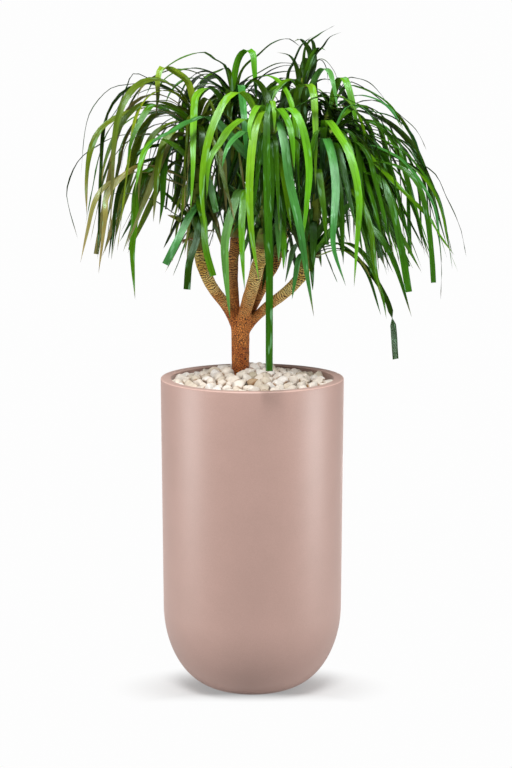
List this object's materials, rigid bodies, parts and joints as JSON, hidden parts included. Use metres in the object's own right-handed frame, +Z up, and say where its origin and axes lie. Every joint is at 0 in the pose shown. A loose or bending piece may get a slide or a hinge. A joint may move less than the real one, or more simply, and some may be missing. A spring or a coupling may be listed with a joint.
{
  "type": "potted ponytail palm",
  "caption": "Branched ponytail palm with long hanging strap leaves in a tall round-bottomed pink planter, topped with white pebbles.",
  "frame": {"origin": "middle of the planter's flat foot, on the surface that it stands on", "axes": "+Z up along the planter's axis, +Y to the back, +X to the right in the picture"},
  "size_m": [0.8731, 0.6507, 1.45],
  "materials": {
    "clay": "matte dusty pink fibre clay",
    "soil": "dark crumbly potting soil",
    "pebble": "tumbled warm white stone",
    "bark": "ringed tan and brown cork bark",
    "leaf": "satin green strap leaf"
  },
  "bodies": {
    "root": {"pot": "clay", "soil": "soil", "pebbles": "pebble", "trunk": "bark", "crown_left": "leaf", "crown_back_left": "leaf", "crown_front": "leaf", "crown_top": "leaf", "crown_right": "leaf", "crown_back_right": "leaf"}
  },
  "joints": []
}
